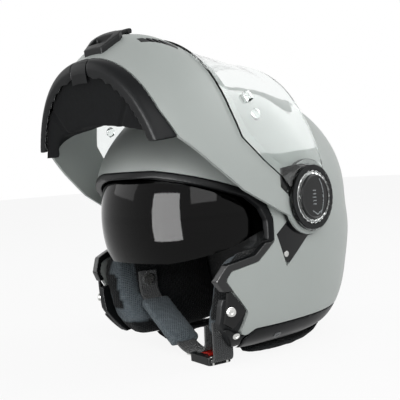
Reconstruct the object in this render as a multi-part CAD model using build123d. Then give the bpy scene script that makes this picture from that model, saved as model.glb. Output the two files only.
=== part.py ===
from build123d import *
import math
import os
from functools import cache

os.makedirs("parts", exist_ok=True)

# A flip-up helmet, in millimetres. X points to the wearer's left, Y to the back, Z up.
# The origin is the centre of the head opening, on the plane that the helmet stands on.
# The chin bar and visor are drawn closed and are then turned up about the hinge line.

# Overall sizes of the shell
half_width = 122.4
half_length = 142.9
dome_height = 117.7
brow_height = 153.6
dome_offset = 6.7
shell_wall = 4.0

# Chin bar and visor
chin_half_width = 126.5
chin_reach = 190.0
chin_wall = 3.5
visor_wall = 2.2
visor_gap = 0.5
opening_angle = 81.0

# Hinge line of the chin bar and visor
hinge_setback = 17.0
hinge_height = 152.0
hinge_pin_radius = 5.0
hinge_play = 0.05
hinge_floor = 118.6
hinge_pocket_radius = 37.0
hinge_disc_radius = 35.5
hinge_boss_wall = 4.0
hinge_plate_wall = 2.4
hinge_arm_wall = 2.3
mount_plate_radius = 29.5
mount_plate_wall = 1.2
visor_ear_radius = 32.0
visor_ear_wall = 3.1
visor_hub_radius = 12.0
hinge_cover_radius = 21.5
hinge_cover_wall = 3.2
hinge_ring_width = 4.0
hinge_ring_wall = 2.1
ratchet_width = 4.5
ratchet_wall = 1.2
ratchet_notch = 1.5
ratchet_teeth = 9
ratchet_start = 38.0
ratchet_pitch = 11.0

# Fits
seat_gap = 0.3
part_gap = 0.5
run_gap = 0.7
overrun = 60.0

# Trims along the edges of the shell
trim_width = 7.0
trim_depth = 6.0
trim_rise = 0.8
edge_round = 5.0
base_trim_wall = 4.0

# Liner and pads
liner_wall = 27.0
crown_pad_wall = 8.0
cheek_inner_width = 60.0
cheek_crown = 9.0
cheek_flare = 36.0
roll_front = 52.0
roll_side_height = 10.5
roll_height = 37.5
frame_recess = 2.0
frame_wall = 6.0

# Latch plates, studs, covers and screws at the jaw
latch_plate_wall = 2.6
stud_radius = 3.0
stud_head_radius = 4.4
stud_length = 9.0
stud_head_length = 2.4
screw_radius = 2.6
screw_rise = 0.8

# Sun visor and its lever
sun_setback = 22.0
sun_height = 139.0
sun_radius = 121.0
sun_half_width = 100.0
sun_wall = 2.0
sun_pin_radius = 3.0
sun_ear_radius = 9.0
sun_space_gap = 2.0
sun_arm_room = 30.0
lever_length = 15.0
lever_height = 8.0
lever_wall = 4.0

# Chin bar fittings
chin_liner_wall = 27.0
chin_trim_wall = 9.0
chin_pad_wall = 10.0
chin_pad_half_width = 38.0
guard_half_width = 45.0
guard_rise = 5.0
vent_level = 38.0
vent_half_width = 21.0
vent_height = 25.0
vent_rise = 6.0
slider_level = 67.0
slider_width = 12.0
slider_height = 6.0
slider_rise = 5.0
slider_stem = 4.0
slider_travel = 9.0
slider_standoff = 2.0
grille_wall = 3.0
grille_slot = 2.2
button_width = 22.0
button_height = 5.5
button_proud = 2.0
button_travel = 3.0
hook_length = 13.0
hook_width = 9.0
hook_wall = 4.0
hook_travel = 3.0
housing_margin = 3.0
view_tab_length = 9.0
view_tab_width = 6.0
view_tab_rise = 4.0
lock_pin_radius = 5.0
lock_pin_wall = 3.0

# Strap and buckle
buckle_x = 52.0
buckle_y = -92.0
buckle_z = 4.5
buckle_length = 34.0
buckle_width = 26.0
buckle_wall = 8.0
strap_turn = -11.5
strap_width = 22.0
strap_wall = 2.4
strap_bend = 12.0
strap_left_bend = 5.0
strap_rise_start = 32.0
strap_right_run = 112.0
strap_right_turn = 56.0
strap_right_top = 80.0
strap_left_run = 22.0
strap_left_top = 42.0
strap_hold = 5.0
strap_pad_length = 68.0
strap_pad_width = 31.0
strap_pad_wall = 3.2
anchor_radius = 4.0
anchor_left_height = 33.0
anchor_right_height = 71.0
anchor_wall = 2.0
tongue_length = 30.0
tongue_width = 16.0
tongue_wall = 2.0
tab_length = 14.0
tab_width = 12.0
tab_wall = 1.8
tab_barrel_radius = 1.8
rivet_radius = 2.4
rivet_spread = 8.0
rivet_proud = 0.4

# Rear vent
vent_band_half_width = 34.0
vent_band_height = 14.0
vent_band_wall = 2.5
vent_slot_count = 5

centre_y = -dome_offset
ellipse_share = 0.5523
big = overrun * 6


# Lengths as shares of the shell's half length and of its brow height
def at(y_share, z_share):
    return (y_share * half_length, z_share * brow_height)


def spots(shares):
    return [at(y_share, z_share) for y_share, z_share in shares]


# Level rings of the shell: height, half width, front reach, rear reach and front fullness
shell_ring_shares = [
    (0.065, 0.655, 0.940, 0.610, 0.620),
    (0.130, 0.792, 1.030, 0.755, 0.620),
    (0.228, 0.875, 1.100, 0.882, 0.620),
    (0.423, 0.928, 1.150, 1.008, 0.620),
    (0.618, 0.960, 1.150, 1.057, 0.610),
    (0.814, 0.982, 1.095, 1.060, 0.590),
    (0.944, 0.998, 1.012, 1.008, 0.560),
    (1.000, 1.000, 1.000, 1.000, 0.5523),
]

# Angles of the dome's rings above the brow line, in degrees
dome_angles = (15, 30, 45, 60, 72, 82, 88)

# Level rings of the chin bar and visor, of the chin bar's half width and reach
chin_ring_shares = [
    (0.026, 0.775, 0.850, 0.640),
    (0.104, 0.846, 0.916, 0.640),
    (0.169, 0.885, 0.932, 0.640),
    (0.293, 0.913, 0.990, 0.640),
    (0.456, 0.940, 1.000, 0.640),
    (0.618, 0.966, 0.927, 0.640),
    (0.794, 0.990, 0.863, 0.640),
    (0.977, 1.000, 0.813, 0.640),
    (1.107, 0.996, 0.779, 0.640),
    (1.250, 0.972, 0.737, 0.640),
]

# Side view outlines, as shares of the half length and brow height
brow_shares = [(-1.25, 1.224), (-0.96, 1.215), (-0.805, 1.159), (-0.553, 1.061), (-0.462, 0.977)]
port_shares = [(-0.420, 0.879), (-0.420, 0.742), (-0.546, 0.632), (-0.728, 0.592), (-0.763, 0.540)]
jaw_shares = [(-0.714, 0.469), (-0.609, 0.335), (-0.637, 0.215), (-0.602, 0.176), (-0.532, 0.221)]
hem_shares = [(-0.049, 0.228), (0.420, 0.234), (1.250, 0.247), (1.250, 1.950), (-1.250, 1.950)]
shell_shares = brow_shares + port_shares + jaw_shares + hem_shares
brow_top_share = 1.30
tail_shares = [(-0.220, 0.930), (-0.400, 0.781), (-0.315, 0.579), (-0.080, 0.781)]
frame_shares = [(-0.770, 0.430), (-0.780, 0.390), (-0.780, 0.273), (-0.644, 0.110),
                (-0.560, 0.110), (-0.560, 0.260), (-0.560, 0.430)]
latch_shares = [(-0.752, 0.485), (-0.630, 0.345), (-0.700, 0.241), (-0.763, 0.280)]
cover_shares = [(-0.777, 0.262), (-0.700, 0.222), (-0.650, 0.190), (-0.612, 0.150),
                (-0.612, 0.114), (-0.644, 0.114)]
base_shares = [(-0.546, 0.085), (-0.588, 0.156), (-0.532, 0.215), (-0.049, 0.222),
               (0.420, 0.228), (1.250, 0.241), (1.250, 0.085)]
arm_low_shares = [(-1.60, 0.098), (-0.875, 0.111), (-0.700, 0.143)]
arm_shares = arm_low_shares + [
    (-0.490, 0.299), (-0.294, 0.462), (-0.154, 0.632), (0.014, 0.853), (-0.119, 0.990),
    (-0.270, 0.930), (-0.350, 0.807), (-0.476, 0.703), (-0.644, 0.605), (-0.790, 0.598),
    (-1.120, 0.612), (-1.60, 0.620)]
chin_low_share = 0.030
visor_shares = [(-1.60, 0.570), (-1.120, 0.558), (-0.958, 0.543), (-0.790, 0.534), (-0.616, 0.541),
                (-0.444, 0.651), (-0.315, 0.755), (-0.119, 0.860), (-0.020, 0.990), (-0.060, 1.110),
                (-0.300, 1.160), (-0.750, 1.172), (-1.000, 1.213), (-1.60, 1.225)]
sun_shares = [(-1.20, 0.650), (-0.900, 0.640), (-0.620, 0.720), (-0.420, 0.800), (-0.154, 0.850),
              (-0.154, 0.960), (-0.460, 1.130), (-0.700, 1.230), (-1.20, 1.250)]
liner_low_shares = (0.30, 0.70, 0.25)
crown_pad_shares = (-0.72, 1.04)
chin_liner_shares = [(-1.60, 0.115), (-0.83, 0.135), (-0.83, 0.575), (-1.60, 0.575)]
chin_pad_shares = [(-1.60, 0.120), (-0.84, 0.140), (-0.84, 0.560), (-1.60, 0.560)]
stud_share = (-0.712, 0.352)
stud_width_share = 0.742
plate_screw_share = (-0.325, 0.655)
cover_screw_share = (-0.665, 0.190)
base_screw_share = (-0.310, 0.140)
lever_share = (-0.560, 0.125)
lock_pin_share = (-0.728, 0.742)
lock_pin_width_share = 0.838
view_tab_share = (-0.833, 0.729)
view_tab_width_share = 0.783
rear_vent_share = 0.80

# The chin vent's outline, as shares of its half width and half height
vent_shares = [(-1.00, 0.40), (-0.80, 1.00), (0.80, 1.00), (1.00, 0.40), (0.62, -1.00), (-0.62, -1.00)]
vent_mouth_shares = (0.60, 0.44)

# The side grilles' outline, as shares of the chin's half width and the brow height
grille_shares = [(0.285, 0.326), (0.348, 0.3125), (0.506, 0.469), (0.458, 0.508)]
grille_slots = 3

# Level rings of a cheek pad: height, lean of the inner face, front and back
cheek_ring_shares = [(0.072, -0.28, -0.56, 0.20), (0.20, -0.42, -0.69, 0.25), (0.38, -0.17, -0.73, 0.265),
                     (0.56, 0.02, -0.70, 0.265), (0.69, 0.34, -0.56, 0.22)]

# Level rings of the neck roll, as shares of its height: outer and inner half width, rear and front
roll_ring_shares = [
    (0.000, 0.600, 0.560, 0.585, 0.545), (0.060, 0.650, 0.525, 0.625, 0.510),
    (0.160, 0.690, 0.505, 0.680, 0.492), (0.280, 0.740, 0.500, 0.735, 0.488),
    (0.600, 0.900, 0.530, 0.860, 0.515), (0.880, 0.900, 0.600, 0.900, 0.585),
    (1.000, 0.880, 0.650, 0.880, 0.640)]


def superellipse(width, front, rear, fullness, height):
    """One level ring: round behind the widest line, fuller in front of it."""
    def corner(reach, share, side):
        return Edge.make_bezier(
            Vector(side * width, centre_y, height),
            Vector(side * width, centre_y + share * reach, height),
            Vector(side * share * width, centre_y + reach, height),
            Vector(0, centre_y + reach, height))
    return Wire([corner(-front, fullness, 1), corner(-front, fullness, -1),
                 corner(rear, ellipse_share, -1), corner(rear, ellipse_share, 1)])


@cache
def shell_form(inset):
    """The closed form inside the shell's outer skin, set in by a wall."""
    rings = []
    for z_share, width, front, rear, fullness in shell_ring_shares:
        rings.append(superellipse(
            width * half_width - inset, front * half_length - inset, rear * half_length - inset,
            fullness, z_share * brow_height))
    for angle in dome_angles:
        level = math.radians(angle)
        flat = math.cos(level)
        rings.append(superellipse(
            (half_width - inset) * flat, (half_length - inset) * flat, (half_length - inset) * flat,
            ellipse_share, brow_height + (dome_height - inset) * math.sin(level)))
    return Part() + Solid.make_loft(rings)


@cache
def chin_form(inset):
    """The closed form inside the chin bar's outer skin, and outside it where inset is negative."""
    rings = []
    for z_share, width, front, fullness in chin_ring_shares:
        reach = front * chin_reach - inset
        rings.append(superellipse(
            width * chin_half_width - inset, reach, reach, fullness, z_share * brow_height))
    return Part() + Solid.make_loft(rings)


def side_face(points, rounding=0):
    if rounding:
        line = FilletPolyline(*points, radius=rounding, close=True)
    else:
        line = Polyline(*points, close=True)
    return make_face(line)


def grown_face(points, gap):
    """A side face moved out by a gap, with its corners kept sharp."""
    return offset(side_face(points), amount=gap, kind=Kind.INTERSECTION)


def side_prism(face):
    """A side view face, stretched right across the helmet."""
    return extrude(Plane.YZ * face, amount=big, both=True)


def front_prism(points):
    """A front view outline, in X and Z, stretched back from ahead of the chin bar."""
    return extrude(Plane.XZ * side_face(points), amount=big)


def disc(radius, inner, outer, y=-hinge_setback, z=hinge_height):
    """A round plate square to X on the left side."""
    return Pos(inner, y, z) * extrude(Plane.YZ * Circle(radius), amount=outer - inner)


def right_of(piece):
    return mirror(piece, about=Plane.YZ)


def both(piece):
    return [piece, right_of(piece)]


def block(x0, x1, y0, y1, z0, z1):
    return Pos((x0 + x1) / 2, (y0 + y1) / 2, (z0 + z1) / 2) * Box(x1 - x0, y1 - y0, z1 - z0)


def left_half(piece):
    return piece & block(0, big, -big, big, -big, big)


def opened(piece):
    """Turn a piece of the chin bar from closed up to its raised place."""
    about = Axis((0, -hinge_setback, hinge_height), (1, 0, 0))
    return piece.rotate(about, -opening_angle)


def largest(piece):
    return piece.solids().sort_by(SortBy.VOLUME)[-1]


def save(name, *pieces):
    solids = []
    for piece in pieces:
        solids.extend(piece.solids())
    result = solids[0] if len(solids) == 1 else Compound(children=solids)
    result.label = name
    export_step(result, f"parts/{name}.step")


# Hinge stack, from the shell's pocket floor outwards
plate_outer = hinge_floor + hinge_plate_wall
arm_inner = plate_outer + part_gap
arm_outer = arm_inner + hinge_arm_wall
mount_outer = arm_outer + mount_plate_wall
ear_inner = mount_outer + seat_gap
ear_outer = ear_inner + visor_ear_wall
cover_inner = ear_outer + seat_gap
cover_outer = cover_inner + hinge_cover_wall

shell_outline = side_face(spots(shell_shares), edge_round)
skin_out = shell_form(0)
skin_in = shell_form(shell_wall)
port_z = at(*port_shares[1])[1]
jaw_z = at(*jaw_shares[0])[1]
tail_face = side_face(spots(tail_shares), edge_round)
rear_vent_z = rear_vent_share * brow_height


def outer_shell():
    wall = (skin_out - skin_in) & side_prism(shell_outline)
    boss = disc(hinge_pocket_radius + hinge_boss_wall / 2, hinge_floor - hinge_boss_wall,
                hinge_floor + part_gap) & skin_out
    pocket = disc(hinge_pocket_radius, hinge_floor, big)
    tail_cut = skin_out - shell_form(hinge_plate_wall + seat_gap)
    tail_cut = left_half(tail_cut & side_prism(grown_face(spots(tail_shares), seat_gap)))
    pin_hole = disc(hinge_pin_radius, hinge_floor - overrun, big)
    for side in both(boss):
        wall = wall + side
    for cut in both(pocket) + both(tail_cut) + both(pin_hole):
        wall = wall - cut
    return wall - ((skin_out - shell_form(vent_band_wall)) & rear_vent_zone(0))


def rear_vent_zone(gap):
    width = vent_band_half_width - gap
    height = vent_band_height / 2 - gap
    return block(-width, width, 0, big, rear_vent_z - height, rear_vent_z + height)


def rear_vent():
    body = (shell_form(-vent_band_wall / 2) - shell_form(vent_band_wall)) & rear_vent_zone(seat_gap)
    pitch = vent_band_half_width * 2 / (vent_slot_count + 1)
    skin = shell_form(-vent_band_wall) - skin_out
    for index in range(vent_slot_count):
        x = (index - (vent_slot_count - 1) / 2) * pitch
        slot = block(x - pitch / 3, x + pitch / 3, 0, big, rear_vent_z - vent_band_height / 5,
                     rear_vent_z + vent_band_height / 5)
        body = body - (skin & slot)
    return body


def edge_band():
    """A strip beside the shell's outline, in the openings."""
    outer = side_prism(grown_face(spots(shell_shares), seat_gap + trim_width))
    inner = side_prism(grown_face(spots(shell_shares), seat_gap))
    return ((shell_form(-trim_rise) - shell_form(trim_depth)) & outer) - inner


def brow_trim():
    return edge_band() & block(-big, big, -big, 0, port_z + part_gap, brow_height * brow_top_share)


def jaw_trim():
    return edge_band() & block(0, big, -big, 0, jaw_z + part_gap, port_z)


def base_trim():
    return (skin_out - shell_form(base_trim_wall)) & side_prism(side_face(spots(base_shares)))


def jaw_frame():
    body = shell_form(frame_recess) - shell_form(frame_recess + frame_wall)
    body = left_half(body & side_prism(side_face(spots(frame_shares))))
    cover = shell_form(-part_gap) - shell_form(shell_wall + seat_gap)
    body = body - (cover & side_prism(grown_face(spots(shell_shares), part_gap)))
    return body - (cover & side_prism(grown_face(spots(base_shares), part_gap)))


plate_outer_inset = frame_recess - latch_plate_wall


def frame_plate(shares):
    """A thin plate on the jaw frame's face."""
    plate = shell_form(plate_outer_inset) - shell_form(frame_recess)
    return left_half(plate & side_prism(side_face(spots(shares), edge_round / 4)))


def stud_seat():
    """The stud's foot on the latch plate, and the way it points."""
    y, z = at(*stud_share)
    return Plane(origin=(stud_width_share * half_width, y, z), z_dir=(0.80, -0.60, 0))


def latch_stud():
    place = stud_seat()
    up = (Align.CENTER, Align.CENTER, Align.MIN)
    neck = place * Cylinder(stud_radius, stud_length, align=up)
    head = place.offset(stud_length - stud_head_length) * Cylinder(
        stud_head_radius, stud_head_length, align=up)
    head = chamfer(head.edges().filter_by(GeomType.CIRCLE), stud_head_length / 4)
    return (neck + head) - shell_form(plate_outer_inset)


def hinge_plate():
    plate = disc(hinge_pocket_radius - part_gap, hinge_floor, plate_outer)
    tail = left_half((skin_out - shell_form(hinge_plate_wall)) & side_prism(tail_face))
    tail = tail - disc(hinge_pocket_radius - part_gap * 2, hinge_floor, big)
    return plate + tail - disc(hinge_pin_radius + hinge_play, 0, big)


def skin_screw(share, inset, rise):
    """A round screw head seated on a skin that is set in from the shell's."""
    y, z = at(*share)
    return disc(screw_radius, 0, big, y, z) & (shell_form(inset - rise) - shell_form(inset))


def hinge_pin():
    shank = disc(hinge_pin_radius, hinge_floor - hinge_boss_wall, mount_outer)
    return chamfer(shank.edges().filter_by(GeomType.CIRCLE), part_gap)


liner_inset = shell_wall + part_gap
cavity_inset = liner_inset + liner_wall


def sun_band(radius, width, wall, start, turn):
    """A bowl of even wall about the sun visor's hinge line, through a turn."""
    share = chin_ring_shares[0][3]
    outer = Bezier((0, radius), (share * width, radius), (width, share * radius), (width, 0))
    low = radius - wall
    slim = width - wall
    inner = Bezier((slim, 0), (slim, share * low), (share * slim, low), (0, low))
    half = make_face([outer.edge(), Line((width, 0), (slim, 0)).edge(), inner.edge(),
                      Line((0, low), (0, radius)).edge()])
    face = half + mirror(half, about=Plane.YZ)
    tilt = math.radians(start)
    plane = Plane(origin=(0, -sun_setback, sun_height), x_dir=(1, 0, 0),
                  z_dir=(0, -math.sin(tilt), -math.cos(tilt)))
    return revolve(plane * face, axis=Axis(plane.origin, (-1, 0, 0)), revolution_arc=turn)


sun_ear_outer = hinge_floor - hinge_boss_wall - part_gap
sun_start = -40
sun_sweep = 134


def impact_liner():
    body = (shell_form(liner_inset) - shell_form(cavity_inset))
    body = body & side_prism(grown_face(spots(shell_shares), -part_gap))
    open_y, open_z, hem_z = liner_low_shares
    body = body - block(-big, big, -big, open_y * half_length, -big, open_z * brow_height)
    body = body - block(-big, big, -big, big, -big, hem_z * brow_height)
    room = sun_band(sun_radius + overrun, sun_half_width + overrun,
                    overrun + sun_wall + sun_space_gap, sun_start, sun_sweep)
    body = body - room
    ear_room = disc(sun_arm_room, sun_half_width - sun_wall - sun_space_gap, big, -sun_setback, sun_height)
    boss_room = disc(hinge_pocket_radius + hinge_boss_wall, hinge_floor - hinge_boss_wall - part_gap, big)
    for cut in both(ear_room) + both(boss_room):
        body = body - cut
    return largest(body)


def sun_visor():
    bowl = sun_band(sun_radius, sun_half_width, sun_wall, sun_start, sun_sweep)
    face = side_face(spots(sun_shares), edge_round / 2) + Pos(-sun_setback, sun_height) * Circle(sun_ear_radius)
    body = bowl & side_prism(face)
    ear = disc(sun_ear_radius, sun_half_width - sun_wall, sun_half_width, -sun_setback, sun_height)
    hole = disc(sun_pin_radius + hinge_play, 0, big, -sun_setback, sun_height)
    for side in both(ear):
        body = body + side
    for cut in both(hole):
        body = body - cut
    return body


def sun_pin():
    return disc(sun_pin_radius, sun_half_width - sun_wall * 2, sun_ear_outer + part_gap, -sun_setback,
                sun_height)


def crown_pad():
    front, low = crown_pad_shares
    inset = cavity_inset + seat_gap
    body = shell_form(inset) - shell_form(inset + crown_pad_wall)
    return body & block(-big, big, front * half_length, big, brow_height * low, big)


def cheek_pad():
    """A crowned cushion against the shell's side, from the jaw to the nape."""
    rings = []
    for z_share, lean, front_share, back_share in cheek_ring_shares:
        z = z_share * brow_height
        front = front_share * half_length
        back = back_share * half_length
        inner = cheek_inner_width + lean * cheek_flare
        edge = inner + cheek_crown
        arc = Edge.make_three_point_arc(
            Vector(edge, front, z), Vector(inner, (front + back) / 2, z), Vector(edge, back, z))
        rings.append(Wire([
            Edge.make_line(Vector(half_width, front, z), Vector(edge, front, z)), arc,
            Edge.make_line(Vector(edge, back, z), Vector(half_width, back, z)),
            Edge.make_line(Vector(half_width, back, z), Vector(half_width, front, z))]))
    body = (Part() + Solid.make_loft(rings)) & shell_form(liner_inset)
    frame_room = shell_form(0) - shell_form(frame_recess + frame_wall + seat_gap)
    body = body - (frame_room & side_prism(grown_face(spots(frame_shares), part_gap)))
    trim_room = shell_form(-trim_rise) - shell_form(trim_depth + part_gap)
    band = side_prism(grown_face(spots(shell_shares), part_gap + trim_width))
    body = body - ((trim_room & band) - side_prism(grown_face(spots(shell_shares), -part_gap)))
    return largest(body)


def neck_roll():
    """The collar under the shell: its flat foot is what the helmet stands on."""
    outer = []
    inner = []
    for z_share, wide, slim, back, hollow in roll_ring_shares:
        z = z_share * roll_height
        outer.append(superellipse(wide * half_width, back * half_length, back * half_length,
                                  ellipse_share, z))
        inner.append(superellipse(slim * half_width, hollow * half_length, hollow * half_length,
                                  ellipse_share, z))
    body = (Part() + Solid.make_loft(outer, ruled=True)) - Solid.make_loft(inner, ruled=True)
    body = body - block(-big, big, -big, -roll_front, -big, big)
    body = body - block(-big, big, -big, liner_low_shares[0] * half_length, roll_side_height, big)
    upper = block(-big, big, -big, big, base_shares[0][1] * brow_height - part_gap, big)
    return largest(body - (upper - shell_form(base_trim_wall + seat_gap)))


# The strap lies in an upright plane through the buckle, along its run
run_way = Vector(math.cos(math.radians(strap_turn)), math.sin(math.radians(strap_turn)), 0)
strap_plane = Plane(origin=(buckle_x, buckle_y, 0), x_dir=run_way, z_dir=run_way.cross(Vector(0, 0, 1)))
buckle_top = buckle_z + buckle_wall / 2
strap_z = buckle_z + tongue_wall / 2 + strap_wall / 2 + hinge_play
left_strap_start = buckle_length / 2 - strap_hold
right_strap_end = -buckle_length / 2 - part_gap * 3


def strap_band(points, bend, wall, width):
    """A ribbon along points in the strap's plane, given along the run and up."""
    line = FilletPolyline(*points, radius=bend)
    return extrude(strap_plane * trace(line, line_width=wall), amount=width / 2, both=True)


def strap_block(s0, s1, z0, z1, width):
    """A box along the strap's run."""
    return strap_plane * Pos((s0 + s1) / 2, (z0 + z1) / 2, 0) * Box(s1 - s0, z1 - z0, width)


def cross_rod(radius, s, z, length):
    """A rod across the strap."""
    return strap_plane * Pos(s, z, 0) * Cylinder(radius, length)


def upright_rod(radius, s, across, z0, z1):
    place = strap_plane * Pos(s, (z0 + z1) / 2, across)
    return place * Rot(90, 0, 0) * Cylinder(radius, z1 - z0)


def run_rod(radius, s0, s1, z):
    """A rod along the strap's run."""
    return strap_plane * Pos((s0 + s1) / 2, z, 0) * Rot(0, 90, 0) * Cylinder(radius, s1 - s0)


right_points = [(right_strap_end, strap_z), (-strap_rise_start, strap_z),
                (-strap_right_run, strap_right_turn), (-strap_right_run, strap_right_top)]
left_points = [(left_strap_start, buckle_z), (strap_left_run, buckle_z), (strap_left_run, strap_left_top)]


def strap_right():
    body = strap_band(right_points, strap_bend, strap_wall, strap_width)
    return body - run_rod(anchor_radius + hinge_play, -strap_right_run - overrun,
                          -strap_right_run + overrun / 2, anchor_right_height)


def strap_left():
    body = strap_band(left_points, strap_left_bend, strap_wall, strap_width)
    body = body - run_rod(anchor_radius + hinge_play, strap_left_run - overrun / 2,
                          strap_left_run + overrun, anchor_left_height)
    for across in (-rivet_spread, rivet_spread):
        body = body - upright_rod(rivet_radius + hinge_play, rivet_place, across, 0, buckle_top * 2)
    return body


rivet_place = buckle_length / 2 - strap_hold / 2


def strap_room(points, bend):
    """The space that a strap takes in a pad."""
    return strap_band(points, bend, strap_wall + part_gap * 2, strap_width + part_gap * 2)


def anchor_room(s, way, height):
    """The space in a cheek pad of a strap's pin and its head, from the strap outwards."""
    wide = anchor_radius + anchor_wall + part_gap
    ends = sorted((s - way * (strap_wall / 2 + anchor_wall + part_gap), s + way * overrun))
    return run_rod(wide, *ends, height)


def anchor_right():
    """A headed pin from the strap's end through the pad to the shell."""
    s = -strap_right_run
    pin = run_rod(anchor_radius, s - overrun, s + strap_wall / 2, anchor_right_height)
    head = run_rod(anchor_radius + anchor_wall, s + strap_wall / 2, s + strap_wall / 2 + anchor_wall,
                   anchor_right_height)
    return largest((pin + head) & shell_form(shell_wall + seat_gap))


def anchor_left():
    """A headed pin from the strap's end to the jaw frame."""
    s = strap_left_run
    pin = run_rod(anchor_radius, s - strap_wall / 2, s + overrun / 2, anchor_left_height)
    head = run_rod(anchor_radius + anchor_wall, s - strap_wall / 2 - anchor_wall, s - strap_wall / 2,
                   anchor_left_height)
    return largest((pin + head) & shell_form(frame_recess + frame_wall + seat_gap))


def strap_pad():
    """A padded sleeve on the rising part of the right strap."""
    low, high = right_points[1:3]
    rise = math.degrees(math.atan2(high[1] - low[1], high[0] - low[0]))
    middle = Pos((low[0] + high[0]) / 2, (low[1] + high[1]) / 2)
    body = strap_plane * middle * Rot(0, 0, rise) * Box(
        strap_pad_length, strap_wall + 2 * strap_pad_wall, strap_pad_width)
    body = fillet(body.edges(), strap_pad_wall / 2)
    return body - strap_room(right_points, strap_bend)


def buckle_frame():
    half = buckle_length / 2
    body = strap_block(-half, half, buckle_z - buckle_wall / 2, buckle_top, buckle_width)
    body = fillet(body.edges().filter_by(Axis.Z), tab_length / 4)
    mouth = strap_block(-half - overrun, tongue_length / 2 - half / 2, buckle_z - tongue_wall,
                        buckle_z + tongue_wall, tongue_width + part_gap * 2)
    slot = strap_block(left_strap_start - part_gap, half + overrun, buckle_z - strap_wall / 2 - hinge_play,
                       buckle_z + strap_wall / 2 + hinge_play, strap_width + part_gap)
    groove = cross_rod(tab_barrel_radius + seat_gap, tab_place, buckle_top, tab_width + part_gap * 2)
    body = body - mouth - slot - groove
    for across in (-rivet_spread, rivet_spread):
        body = body - upright_rod(rivet_radius + hinge_play, rivet_place, across, -buckle_top, buckle_top * 2)
    return body


tab_place = tab_length / 2


def buckle_tab():
    """The red lifting tab, on a barrel across the buckle."""
    barrel = cross_rod(tab_barrel_radius, tab_place, buckle_top, tab_width)
    low = buckle_top + seat_gap
    return barrel + strap_block(tab_place - tab_length, tab_place, low, low + tab_wall, tab_width)


def buckle_tongue():
    half = buckle_length / 2
    return strap_block(-tongue_length, -tongue_length + half + tongue_length / 2 - part_gap * 4,
                       buckle_z - tongue_wall / 2, buckle_z + tongue_wall / 2, tongue_width)


def buckle_rivet(across):
    return upright_rod(rivet_radius, rivet_place, across, buckle_z - buckle_wall / 2,
                       buckle_top + rivet_proud)


def sun_lever():
    """The slider on the right jaw that lowers the sun visor."""
    y, z = at(*lever_share)
    zone = block(-big, 0, y, y + lever_length, z, z + lever_height)
    return (shell_form(-run_gap - lever_wall) - shell_form(-run_gap)) & zone


arm_face = side_face(spots(arm_shares), edge_round)


def in_chin(outer, inner, face):
    """A wall of the chin bar's form, cut to a side view face."""
    return (chin_form(outer) - chin_form(inner)) & side_prism(face)


def vent_outline(gap):
    return [(x * (vent_half_width + gap), vent_level + z * (vent_height / 2 + gap)) for x, z in vent_shares]


def grille_prism(gap):
    face = side_face([(x * chin_half_width, z * brow_height) for x, z in grille_shares])
    if gap:
        face = offset(face, amount=gap, kind=Kind.INTERSECTION)
    return extrude(Plane.XZ * face, amount=big)


def slider_slot():
    half = slider_stem / 2 + seat_gap
    return block(-half, half, -big, -chin_reach / 2, slider_level - slider_travel - seat_gap,
                 slider_level + slider_height + seat_gap)


def chin_bar_shell():
    wall = in_chin(0, chin_wall, arm_face)
    for cut in both(disc(visor_ear_radius + part_gap * 2, arm_outer, big)):
        wall = wall - cut
    for cut in both(disc(hinge_pocket_radius + part_gap, 0, arm_inner)):
        wall = wall - cut
    for side in both(disc(hinge_disc_radius, arm_inner, arm_outer) & chin_form(0)):
        wall = wall + side
    for cut in both(disc(hinge_pin_radius + hinge_play, 0, big)):
        wall = wall - cut
    wall = wall - front_prism(vent_outline(seat_gap)) - slider_slot()
    grille = grille_prism(seat_gap)
    return wall - grille - right_of(grille)


def chin_vent_housing():
    body = (chin_form(-vent_rise) - chin_form(chin_wall)) & front_prism(vent_outline(0))
    mouth_wide, mouth_high = vent_mouth_shares
    wide = mouth_wide * vent_half_width
    high = mouth_high * vent_height / 2
    mouth = block(-wide, wide, -big, 0, vent_level - high, vent_level + high)
    return body - (mouth & (chin_form(-vent_rise * 2) - chin_form(0)))


def side_grille():
    body = (chin_form(0) - chin_form(chin_wall)) & grille_prism(0)
    skin = chin_form(-part_gap) - chin_form(grille_wall / 2)
    low = grille_shares[0][1] * brow_height
    for index in range(grille_slots):
        z = low + grille_slot * (index * 2 + 2)
        body = body - (skin & block(0, big, -big, 0, z, z + grille_slot))
    return largest(body)


def vent_slider():
    face_y = centre_y - chin_reach - slider_standoff
    half = slider_width / 2
    knob = block(-half, half, face_y - slider_rise, face_y, slider_level, slider_level + slider_height)
    knob = fillet(knob.edges().filter_by(Axis.X), slider_height / 4)
    stem = block(-slider_stem / 2, slider_stem / 2, face_y, face_y + slider_standoff + chin_wall - part_gap,
                 slider_level, slider_level + slider_height)
    return knob + stem


chin_low = chin_low_share * brow_height


def chin_bar_trim():
    edge = [(y, z - part_gap) for y, z in spots(arm_low_shares)]
    face = side_face(edge + [(edge[-1][0], chin_low), (edge[0][0], chin_low)])
    return in_chin(0, chin_trim_wall, face) - button_room()


def button_room():
    half = button_width / 2 + seat_gap
    return block(-half, half, -big, 0, -big, chin_low + button_height + button_travel + seat_gap)


def release_button():
    half = button_width / 2
    zone = block(-half, half, -big, 0, chin_low - button_proud, chin_low + button_height)
    low_form = chin_form(seat_gap) - chin_form(chin_trim_wall)
    return low_form & zone


chin_liner_inset = chin_wall + part_gap
chin_pad_inset = chin_liner_inset + chin_liner_wall + seat_gap


def chin_bar_liner():
    face = side_face(spots(chin_liner_shares))
    body = in_chin(chin_liner_inset, chin_liner_inset + chin_liner_wall, face)
    for cut in both(hook_room()):
        body = body - cut
    return largest(body - slider_slot_room())


def slider_slot_room():
    """Room behind the chin bar's skin for the air that the vents let in."""
    return block(-vent_half_width, vent_half_width, -big, centre_y - chin_reach + chin_wall * 2,
                 vent_level - vent_height / 2, slider_level + slider_height)


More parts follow.
